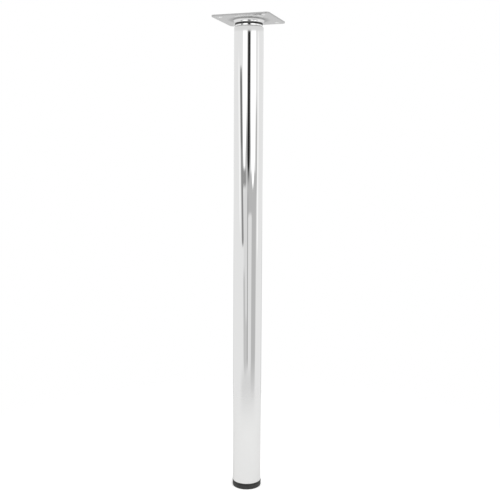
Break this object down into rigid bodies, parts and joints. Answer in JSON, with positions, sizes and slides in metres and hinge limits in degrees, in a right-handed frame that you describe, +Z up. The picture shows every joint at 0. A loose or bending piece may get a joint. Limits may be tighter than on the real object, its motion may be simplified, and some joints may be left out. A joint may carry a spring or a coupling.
{
  "type": "table leg",
  "caption": "Round chromed table leg with a square screw-on mounting plate on top and a black levelling foot.",
  "frame": {"origin": "middle of the foot pad's underside, at the bottom of the leg", "axes": "+Z up along the leg's axis, out through the mounting plate; +X and +Y along the plate's sides"},
  "size_m": [0.1, 0.1, 0.82],
  "materials": {
    "plate_steel": "satin chromed pressed sheet steel",
    "chrome": "polished chrome on steel tube",
    "zinc_steel": "bright zinc plated steel",
    "black_plastic": "moulded black plastic, satin"
  },
  "bodies": {
    "leg": {"mounting_plate": "plate_steel", "plate_bolt": "zinc_steel", "spacer_ring": "black_plastic", "top_insert": "zinc_steel", "tube": "chrome", "bottom_plug": "black_plastic", "bottom_nut": "zinc_steel"},
    "stud": {"foot_stud": "zinc_steel"},
    "pad": {"foot_pad": "black_plastic"}
  },
  "joints": [
    {"name": "foot_travel", "type": "slide", "parent": "leg", "child": "stud", "axis": [0, 0, -1], "range_m": [0, 0.015]},
    {"name": "foot_turn", "type": "hinge", "parent": "stud", "child": "pad", "pos_m": [0, 0, 0], "axis": [0, 0, -1], "range_deg": [0, 3600]}
  ],
  "couplings": [
    {"joint": "foot_travel", "follows": "foot_turn", "m_per_rad": 0.00023873}
  ]
}
